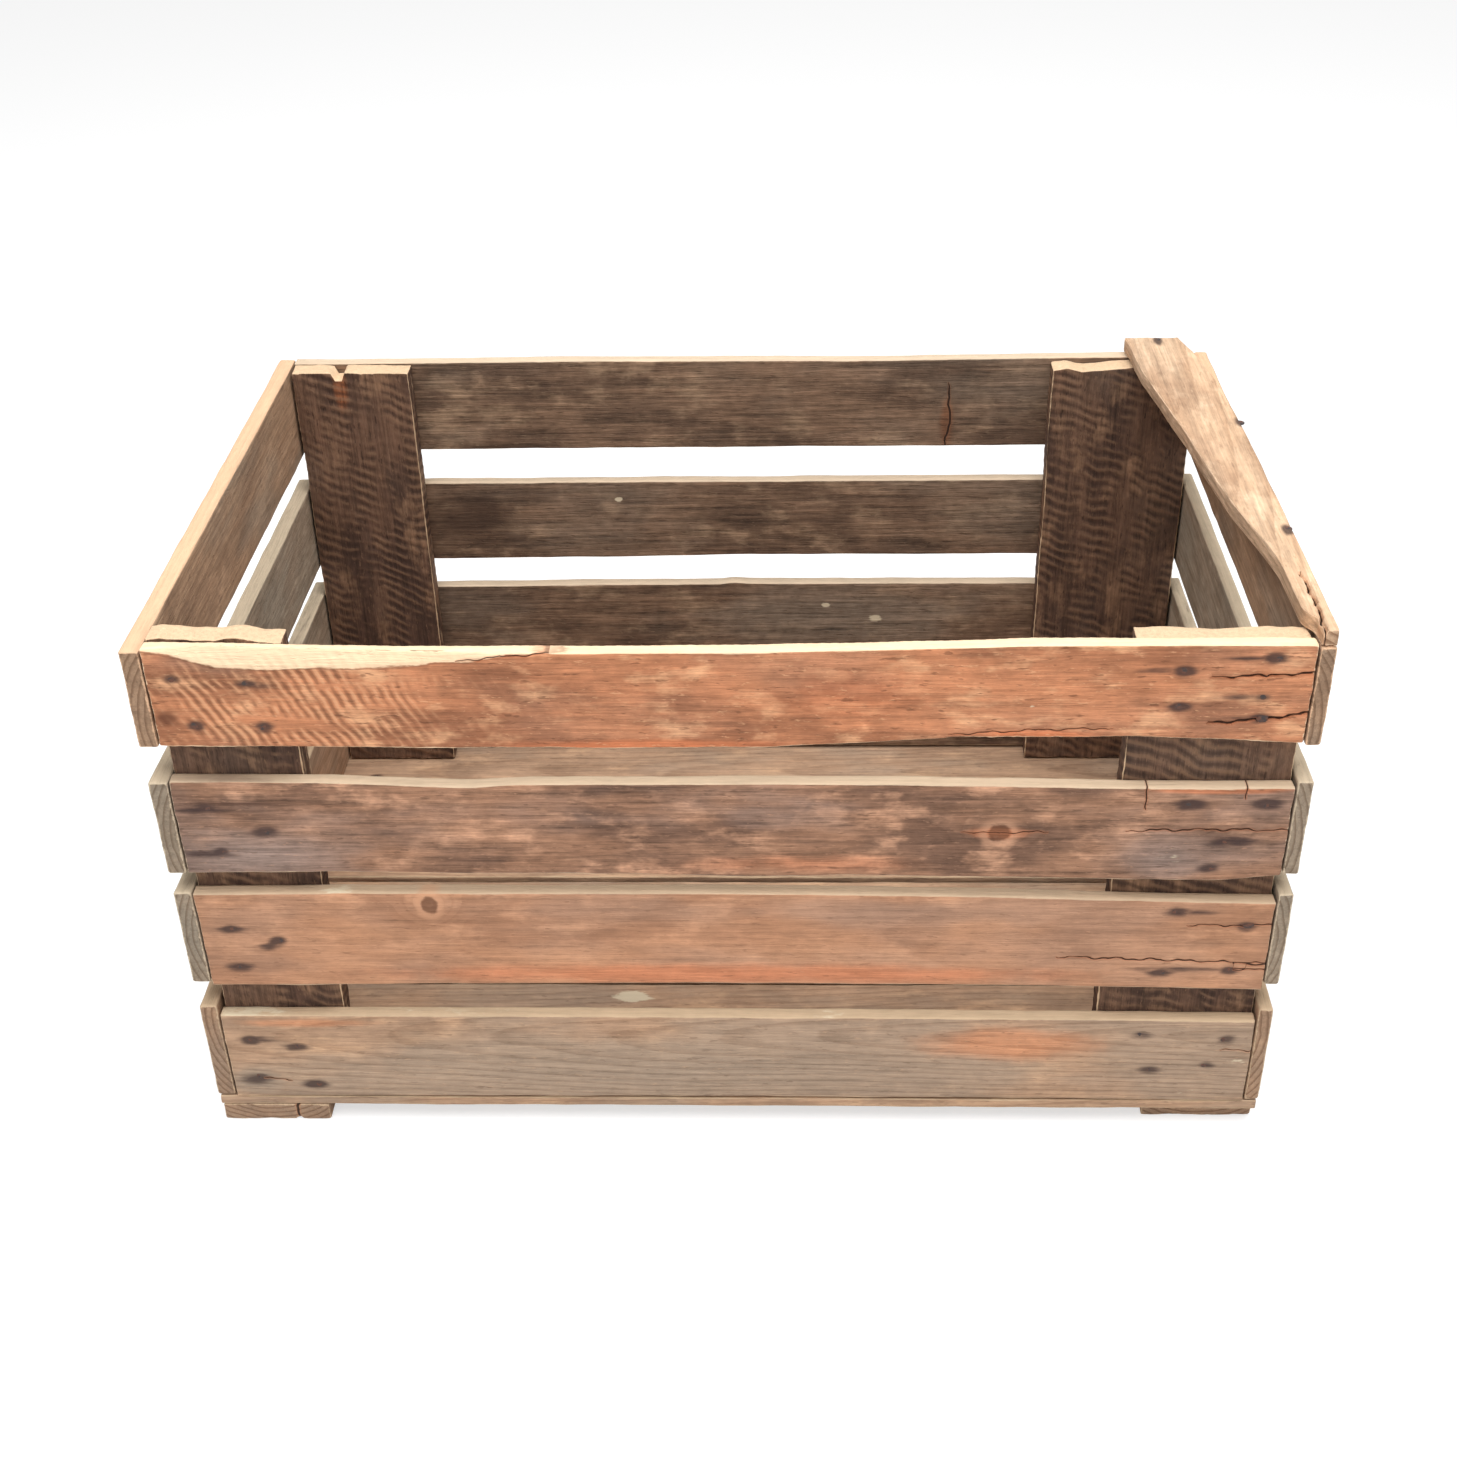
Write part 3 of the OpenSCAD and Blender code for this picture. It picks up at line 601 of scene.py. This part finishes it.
board("front_slat_2", to_front, (400, 36, 6), brown_wood, 2.7, arris=1.5,
      high=((-280, 2), (-270, 2), (-200, 1), (-130, -2), (-100, 0), (50, 0), (150, -1.5), (200, -3),
            (280, -3)),
      low=((-280, 0.5), (-200, 1.5), (-130, 0.5), (-50, 0.5), (0, -1.5), (60, -0.5), (120, -1.5), (180, -2.5),
           (225, -3.5), (250, -3.5), (280, -0.5)),
      cracks=((0.7, 1.2, ((199, 28.5), (240, 29.2), (290, 28.6))),
              (0.6, 1.0, ((207.3, 59), (207, 50), (207.6, 40))),
              (0.6, 1.0, ((256, 56), (255.6, 48))), (0.5, 0.8, ((116, 28), (136, 27.2), (160, 28)))),
      knots=((136, 27.5, 6.5, 5.5),),
      spots=(("stain", "f", -266, 41.5, 17, 2.6, 0.9), ("stain", "f", -235, 28, 9, 5, 1.0),
             ("stain", "f", -266, 14, 20, 2.8, 0.9), ("stain", "f", 229.4, 44.8, 10, 4, 1.1),
             ("stain", "f", 266.5, 45, 10, 4, 1.1), ("stain", "f", 255, 22.3, 13, 4, 0.9),
             ("dark", "f", -250, 45.5, 30, 1.4, 0.9), ("grey", "f", -242, 12, 38, 14, 1.0),
             ("dark", "t", -250, 58, 45, 12, 0.7), ("warm", "f", 245, 54, 38, 3, 1.1),
             ("warm", "f", 136, 27.5, 20, 5, 0.8), ("grey", "f", 221, 11.5, 18, 11, 0.9),
             ("chalk", "f", 221, 11.5, 15, 10, 0.42), ("dark", "f", -20, 34, 150, 17, 0.3),
             ("warm", "f", 40, 8, 100, 10, 0.5)),
      pith=(20.0, -80.0, -0.03), ring=3.0)
board("front_slat_3", to_front, (400, 36, 6), russet_wood, 4.1,
      high=((-280, 0), (-200, 1), (0, 1), (100, 0), (200, -3), (280, -5)),
      low=((-280, -2), (-150, -0.5), (0, 0.5), (100, 0), (180, -1), (280, -3)),
      cracks=((0.6, 1.0, ((235, 41.5), (262, 41.2), (290, 42))),
              (0.8, 1.2, ((170, 20), (225, 18), (290, 15.5))), (0.6, 0.8, ((262, 11.7), (290, 11.2)))),
      knots=((-156, 54.5, 5.0, 6.5),),
      spots=(("stain", "f", -262, 38, 12, 2.4, 0.9), ("stain", "f", -244, 26, 8, 3, 0.9),
             ("stain", "f", 236, 12, 40, 2.4, 0.75), ("stain", "f", 240, 50, 16, 2.2, 0.7),
             ("warm", "f", 0, 8, 230, 9, 0.75), ("chalk", "t", -203, 62, 16, 8, 0.55),
             ("grey", "f", 60, 50, 120, 10, 0.5)),
      pith=(35.0, -120.0, 0.05), ring=3.8)
board("front_slat_4", to_front, (400, 36, 6), grey_wood, 5.9,
      high=((-280, 0), (-150, 0.6), (60, 0), (200, -0.8), (280, -1.5)),
      low=((-280, -1), (-240, 0), (0, 1), (180, 0.6), (280, -0.4)),
      cracks=((0.5, 0.8, ((-262, 14), (-246, 12.5))), (0.5, 0.8, ((262, 38), (290, 37)))),
      spots=(("stain", "f", -262, 43, 14, 3.2, 0.8), ("stain", "f", -240, 37, 12, 3, 0.8),
             ("stain", "f", -266, 13, 12, 5.5, 0.85), ("stain", "f", 226, 23, 9, 3.5, 0.9),
             ("grey", "f", -266, 12, 14, 10, 0.8), ("grey", "f", -60, 20, 200, 24, 0.6),
             ("chalk", "t", -262, 61, 30, 8, 0.62), ("chalk", "t", -155, 61, 55, 8, 0.46),
             ("chalk", "t", 52, 61, 16, 8, 0.45), ("chalk", "f", 272, 30, 12, 4, 0.5),
             ("chalk", "f", 250, 8, 16, 5, 0.42), ("warm", "f", 150, 42, 60, 14, 0.85),
             ("warm", "f", -235, 55, 50, 4, 0.7), ("warm", "t", 0, 61, 250, 9, 0.5),
             ("grey", "t", 250, 61, 60, 9, 1.0)),
      pith=(46.0, -17.0, 0.055), ring=3.3)

# ---------------------------------------------------------------------------------------
# Back slats: four slats like the front ones, on the far side. They show their inner side,
# and their dark colour is partly the wood's own, dirtier and darker, and partly painted shade
# from inside the crate.

dark_wood = wood("dark_wood", Pale=tone(150, 124, 100), Mid=tone(122, 97, 78), Deep=tone(82, 64, 52),
                 Grey=tone(122, 108, 94), Worn=tone(206, 184, 158), Warm=tone(136, 92, 66), Blotch=0.8,
                 Weather=0.4, Streak=0.95, Ring=0.10, Fuzz=0.6)
for name, seed, edges, more in (
        ("back_slat_1", 6.2, (((-280, 0), (-100, 0.5), (60, -0.8), (180, 0), (280, 0.5)), ()),
         {"cracks": ((0.9, 1.5, ((129, 44), (131, 20), (128, -2))),),
          "spots": (("warm", "b", 129, 16, 5, 20, 0.9), ("dark", "b", 129, 12, 9, 18, 0.6)),
          "chips": ((128, 0, 6, 5, 3.0),)}),
        ("back_slat_2", 7.4, (((-280, 0), (280, 0)), ((-280, 0), (-150, 0.2), (0, 2.0), (280, 1.5))),
         {"spots": (("chalk", "b", -81, 44, 3.5, 2.5, 0.9), ("dark", "b", -180, 30, 45, 25, 0.8))}),
        ("back_slat_3", 8.9, (((-280, -0.5), (-12, 1.2), (-7, 3.2), (-2, 1.2), (200, 0.5), (280, 0)), ()),
         {"spots": (("chalk", "b", 54, 39, 4, 2.5, 0.8), ("chalk", "b", 87, 29, 6, 4, 0.8),
                    ("grey", "b", 60, 30, 90, 18, 0.8))}),
        ("back_slat_4", 10.3, (((-280, 0), (40, 1), (280, 0)), ()), {})):
    board(name, (0, 2, 1, 1), (330, 30, 6), dark_wood, seed, high=edges[0], low=edges[1],
          pith=(25.0, -70.0, 0.02), top_wear_and_highlight=0.85, **more)

# ---------------------------------------------------------------------------------------
# End slats: four on each end, nailed to the outer edges of the corner boards. Those of the
# left end are a little thicker, and all of them are bare and greyish, with top edges painted
# paler, partly rubbed and partly painted highlight.

tan_wood = wood("tan_wood", Pale=tone(200, 166, 136), Mid=tone(176, 144, 116), Deep=tone(140, 112, 90),
                Grey=tone(156, 140, 122), Worn=tone(216, 178, 144), Warm=tone(190, 140, 102), Blotch=0.7,
                Weather=0.6, Streak=0.5, Ring=0.22, Fuzz=0.5)
ash_wood = wood("ash_wood", Pale=tone(186, 168, 146), Mid=tone(166, 148, 128), Deep=tone(132, 116, 98),
                Grey=tone(158, 148, 132), Worn=tone(200, 182, 156), Warm=tone(170, 140, 112), Blotch=0.7,
                Weather=0.7, Streak=0.5, Ring=0.2, Fuzz=0.5)
for side, facing, first in (("left", -1, 11.7), ("right", 1, 17.3)):
    for course in range(4):
        board(f"{side}_end_slat_{course + 1}", (1, 2, 0, facing), (210, 30, 6),
              (tan_wood, ash_wood, ash_wood, grey_wood)[course], first + 1.3 * course, taper=True, arris=1.6,
              pith=(15.0 + 12 * course, -60.0, 0.04), top_wear_and_highlight=(1.0, 0.7, 0.6, 0.6)[course])

# ---------------------------------------------------------------------------------------
# Corner boards: four short upright boards inside the long slats, dark, hairy from the saw,
# and broken at their tops. Their dark colour is partly the wood's own and partly painted shade
# from inside the crate, and their pale tops are partly weathered end grain and partly painted
# highlight from above. The slats are nailed to their faces and outer edges.

post_wood = wood("post_wood", Pale=tone(140, 108, 84), Mid=tone(104, 78, 62), Deep=tone(68, 50, 42),
                 Grey=tone(104, 88, 76), Worn=tone(214, 184, 150), Warm=tone(150, 92, 60), Blotch=0.85,
                 Weather=0.3, Streak=0.8, Ring=0.08, Fuzz=0.9, Saw_Marks=0.8, Saw_Pitch=0.0065,
                 Saw_Slant=1.25)
for name, facing, seed, line, more in (
        ("front_left_corner_board", -1, 23.1,
         ((0, -0.5), (8, 0.8), (24, -0.7), (36, -1), (42, 0.2), (48, 0.2), (58, -2), (69, -3)), {}),
        ("front_right_corner_board", -1, 24.6, ((0, 0), (20, 0.6), (42, -0.8), (60, 0.3), (86, 0)), {}),
        ("back_left_corner_board", 1, 25.9,
         ((0, 0), (26, 0), (27, -6), (33, -6), (34, 0), (60, -0.5), (76, -1)),
         {"spots": (("warm", "b", 134, 31, 16, 5, 1.0),)}),
        ("back_right_corner_board", 1, 27.4, ((0, -3), (10, -1), (20, -4), (40, -2), (60, 0), (90, 0)), {})):
    board(name, (2, 0, 1, facing), (170, 44, 8), post_wood, seed, tip=line, rough=0.5, arris=1.6, wander=1.4,
          pith=(40.0, -50.0, 0.03), top_wear_and_highlight=0.3, end_wear_and_highlight=0.95, saw=(0.25, 6.5, 1.25), **more)

# ---------------------------------------------------------------------------------------
# Floor: four wide thin boards of sawn softwood, laid along the crate with narrow gaps. They
# lie under the walls and are nailed down to the feet. Something whitish was once spilt there.

for course in range(4):
    board(f"floor_board_{course + 1}", (0, 1, 2, 1), (290, 44, 5), grey_wood, 31.3 + 1.7 * course,
          pith=(40.0, -50.0 + 10 * course, 0.04), top_wear_and_highlight=0.3, rough=0.3,
          spots=(("chalk", "f", -62, 85, 14, 6, 0.9),) if course == 0 else ())

# ---------------------------------------------------------------------------------------
# Feet: a batten across the underside at each end, which the floor and the corner boards are
# nailed to from below. The left one is split at its front end.

for name, seed, more in (
        ("left_foot_batten", 41.2, {"cracks": ((1.2, 3.0, ((-180, 42), (-171, 47), (-166, 56))),)}),
        ("right_foot_batten", 42.6, {})):
    board(name, (1, 0, 2, -1), (190, 30, 8), grey_wood, seed, arris=2.2, wander=1.4, rough=0.4,
          pith=(30.0, -40.0, 0.03), top_wear_and_highlight=0.4, **more)

# ---------------------------------------------------------------------------------------
# Rim board: a pale board nailed flat on top of the right end. Half of it has split away
# along the grain, so that it narrows to a tongue at the front.

pale_wood = wood("pale_wood", Pale=tone(232, 200, 168), Mid=tone(206, 172, 140), Deep=tone(168, 132, 104),
                 Grey=tone(180, 158, 136), Worn=tone(226, 194, 162), Warm=tone(204, 148, 110), Blotch=0.6,
                 Weather=0.25, Streak=0.5, Ring=0.35, Fuzz=0.4)
inner_edge = ((-177, 45), (-163, 44), (-157, 39), (-137, 38.5), (-112, 38), (-92, 35), (-67, 30), (-47, 26),
              (-17, 22), (8, 19), (38, 16), (63, 12), (93, 8), (123, 4), (163, 2), (177, 0.5))
outer_edge = ((-177, -0.5), (0, -1.5), (93, -4), (123, -7), (153, -12), (177, -18))
board("right_rim_board", (1, 0, 2, 1), (230, 32, 6), pale_wood, 51.8, low=inner_edge, high=outer_edge,
      arris=1.8, wander=1.6, rough=0.3, pith=(20.0, -50.0, 0.03), ring=4.2, top_wear_and_highlight=0.6,
      cracks=((1.0, 4.0, ((-178, 46), (-150, 47), (-120, 46))),))

# ---------------------------------------------------------------------------------------
# Nails: iron wire nails with flat round heads, rusted dark, driven through one board into
# the next. Each head is a little askew and bruised by the hammer.


def wire_nail():
    """Nails at a mesh's points: a flat bruised head at each, and a shank below it."""
    tree = bpy.data.node_groups.new("wire_nail", "GeometryNodeTree")
    tree.interface.new_socket("Nails", in_out="OUTPUT", socket_type="NodeSocketGeometry")
    given = inputs(tree, ("Places", "Geometry", None), ("Head", "Float", 0.0027),
                   ("Head Thickness", "Float", 0.001), ("Shank", "Float", 0.0012), ("Length", "Float", 0.02),
                   ("Facing", "Rotation", None), ("Askew", "Float", 0.06), ("Seed", "Int", 3),
                   ("Iron", "Material", None))
    head = node(tree, "GeometryNodeMeshCylinder", {
        "Vertices": 12, "Side Segments": 1, "Fill Segments": 2, "Radius": given["Head"],
        "Depth": given["Head Thickness"]}, fill_type="TRIANGLE_FAN")
    place = node(tree, "GeometryNodeInputPosition")
    flat = vectors(tree, "MULTIPLY", place, (1.0, 1.0, 0.0))
    out = sums(tree, "DIVIDE", vectors(tree, "LENGTH", flat, out=1), given["Head"])
    bruise = node(tree, "ShaderNodeTexNoise", {"Vector": place, "Scale": 420.0, "Detail": 2.0})
    dimple = sums(tree, "MULTIPLY", bruise, 0.45)
    sink = sums(tree, "MULTIPLY_ADD", sums(tree, "POWER", out, 2.0), 0.35, dimple)
    drop = sums(tree, "MULTIPLY", sums(tree, "MULTIPLY", sink, given["Head Thickness"]), -0.7)
    upper = sums(tree, "GREATER_THAN", node(tree, "ShaderNodeSeparateXYZ", {0: place}, out=2), 0.0)
    head = node(tree, "GeometryNodeSetPosition", {0: head, "Selection": upper,
                                                  "Offset": node(tree, "ShaderNodeCombineXYZ", {2: drop})})
    lower = node(tree, "ShaderNodeCombineXYZ", {2: sums(tree, "MULTIPLY", given["Head Thickness"], -0.5)})
    head = node(tree, "GeometryNodeTransform", {0: head, "Translation": lower})
    shank = node(tree, "GeometryNodeMeshCylinder", {
        "Vertices": 8, "Radius": given["Shank"], "Depth": given["Length"]}, fill_type="TRIANGLE_FAN")
    halfway = node(tree, "ShaderNodeCombineXYZ", {2: sums(tree, "MULTIPLY", given["Length"], -0.5)})
    raised = vectors(tree, "ADD", halfway, (0.0, 0.0, -0.0003))
    shank = node(tree, "GeometryNodeTransform", {0: shank, "Translation": raised})
    join = tree.nodes.new("GeometryNodeJoinGeometry")
    tree.links.new(head, join.inputs[0])
    tree.links.new(shank, join.inputs[0])
    dots = node(tree, "GeometryNodeMeshToPoints", {0: given["Places"]})
    seed = given["Seed"]
    tilt = node(tree, "FunctionNodeRandomValue", {0: (-1.0, -1.0, -3.1), 1: (1.0, 1.0, 3.1), "Seed": seed},
                data_type="FLOAT_VECTOR")
    askew = node(tree, "ShaderNodeCombineXYZ", {0: given["Askew"], 1: given["Askew"], 2: 1.0})
    tilt = node(tree, "FunctionNodeEulerToRotation", {0: vectors(tree, "MULTIPLY", tilt, askew)})
    turned = node(tree, "FunctionNodeRotateRotation", {0: given["Facing"], 1: tilt}, rotation_space="LOCAL")
    wide = node(tree, "FunctionNodeRandomValue", {2: 0.94, 3: 1.10, "Seed": seed}, data_type="FLOAT", out=1)
    grow = node(tree, "ShaderNodeCombineXYZ", {0: wide, 1: wide, 2: 1.0})
    many = node(tree, "GeometryNodeInstanceOnPoints",
                {0: dots, "Instance": join.outputs[0], "Rotation": turned, "Scale": grow})
    real = node(tree, "GeometryNodeRealizeInstances", {0: many})
    done = node(tree, "GeometryNodeSetMaterial", {0: real, "Material": given["Iron"]})
    tree.links.new(done, tree.nodes.new("NodeGroupOutput").inputs[0])
    return tree


def rusty_iron():
    """Dark iron with brown rust in patches."""
    made = bpy.data.materials.new("rusty_iron")
    made.use_nodes = True
    tree = made.node_tree
    shader = tree.nodes["Principled BSDF"]
    at = node(tree, "ShaderNodeTexCoord", out="Object")
    patches = node(tree, "ShaderNodeTexNoise", {"Vector": at, "Scale": 380.0, "Detail": 4.0})
    specks = node(tree, "ShaderNodeTexNoise", {"Vector": at, "Scale": 1500.0, "Detail": 2.0})
    rust = rise(tree, patches, 0.42, 0.60)
    shades = node(tree, "ShaderNodeMix", {0: specks, 6: tone(74, 44, 34), 7: tone(112, 70, 50)}, out=2,
                  data_type="RGBA")
    colour = node(tree, "ShaderNodeMix", {0: rust, 6: tone(70, 62, 60), 7: shades}, out=2, data_type="RGBA")
    tree.links.new(colour, shader.inputs["Base Color"])
    tree.links.new(sums(tree, "MULTIPLY_ADD", rust, -0.8, 0.85), shader.inputs["Metallic"])
    tree.links.new(sums(tree, "MULTIPLY_ADD", rust, 0.35, 0.42), shader.inputs["Roughness"])
    relief = node(tree, "ShaderNodeBump", {"Strength": 0.6, "Distance": 0.0003, "Height": specks})
    tree.links.new(relief, shader.inputs["Normal"])
    return made


nail_tree, iron = wire_nail(), rusty_iron()

# Each nail sits a little below its place, and stops short of the end of its hole.
sunk, short = 0.3, 1.0
for order, (name, found) in enumerate(nails.items()):
    axis, faces, length = found[0][1:]
    away = Vector([faces if k == axis else 0 for k in range(3)])
    spots = bpy.data.meshes.new(name)
    spots.from_pydata([list((head - sunk * np.array(away)) / per_metre) for head, _, _, _ in found], [], [])
    piece = grown(name + ".iron", nail_tree, {
        "Head": 0.00275, "Head Thickness": 0.001, "Shank": 0.0012, "Length": (length - short) / per_metre,
        "Facing": away.to_track_quat("Z", "Y").to_euler(), "Askew": 0.05, "Seed": order, "Iron": iron}, spots)
    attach(piece, "root")
    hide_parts(name)

# ---------------------------------------------------------------------------------------
# The studio: a pale floor that reads as white, one large soft lamp above and in front, a
# weaker one in front, and an even light from all round.


def seen(tree):
    """1 where the eye sees the studio, straight or in gloss, and 0 where it only lights the crate."""
    rays = tree.nodes.new("ShaderNodeLightPath").outputs
    gloss = sums(tree, "MAXIMUM", rays["Is Glossy Ray"], rays["Is Transmission Ray"])
    return sums(tree, "MAXIMUM", rays["Is Camera Ray"], gloss)


reach = 9
ground = bpy.data.meshes.new("floor")
ground.from_pydata([(-reach, -reach, 0), (reach, -reach, 0), (reach, reach, 0), (-reach, reach, 0)], [],
                   [(0, 1, 2, 3)])
floor = bpy.data.objects.new("floor", ground)
bpy.context.scene.collection.objects.link(floor)
paper = bpy.data.materials.new("studio_paper")
paper.use_nodes = True
tree = paper.node_tree
shader = tree.nodes["Principled BSDF"]
shader.inputs["Roughness"].default_value = 0.9
shader.inputs["Specular IOR Level"].default_value = 0.0
lighting, shown = (0.75, 0.75, 0.75, 1), (0.5, 0.5, 0.5, 1)
tree.links.new(node(tree, "ShaderNodeMix", {0: seen(tree), 6: lighting, 7: shown}, out=2, data_type="RGBA"),
               shader.inputs["Base Color"])
shader.inputs["Emission Color"].default_value = (1, 1, 1, 1)
tree.links.new(sums(tree, "MULTIPLY", seen(tree), 0.6), shader.inputs["Emission Strength"])
ground.materials.append(paper)

world = bpy.context.scene.world or bpy.data.worlds.new("studio")
bpy.context.scene.world = world
world.use_nodes = True
tree = world.node_tree
ambient = 0.45
tree.nodes["Background"].inputs["Color"].default_value = (1, 1, 1, 1)
tree.links.new(sums(tree, "MULTIPLY_ADD", seen(tree), 1 - ambient, ambient),
               tree.nodes["Background"].inputs["Strength"])

for name, spot, aim, size, power in (("overhead", (0.1, -0.5, 2.1), (0, 0.05, 0.1), 2.0, 62.0),
                                     ("front", (-0.5, -2.6, 1.0), (0, 0, 0.15), 1.6, 14.0)):
    lamp = bpy.data.lights.new(name, "AREA")
    lamp.size, lamp.energy = size, power
    holder = bpy.data.objects.new(name, lamp)
    holder.matrix_world = (Matrix.Translation(spot)
                           @ (Vector(aim) - Vector(spot)).to_track_quat("-Z", "Y").to_matrix().to_4x4())
    bpy.context.scene.collection.objects.link(holder)
bpy.context.scene.view_settings.view_transform = "Standard"
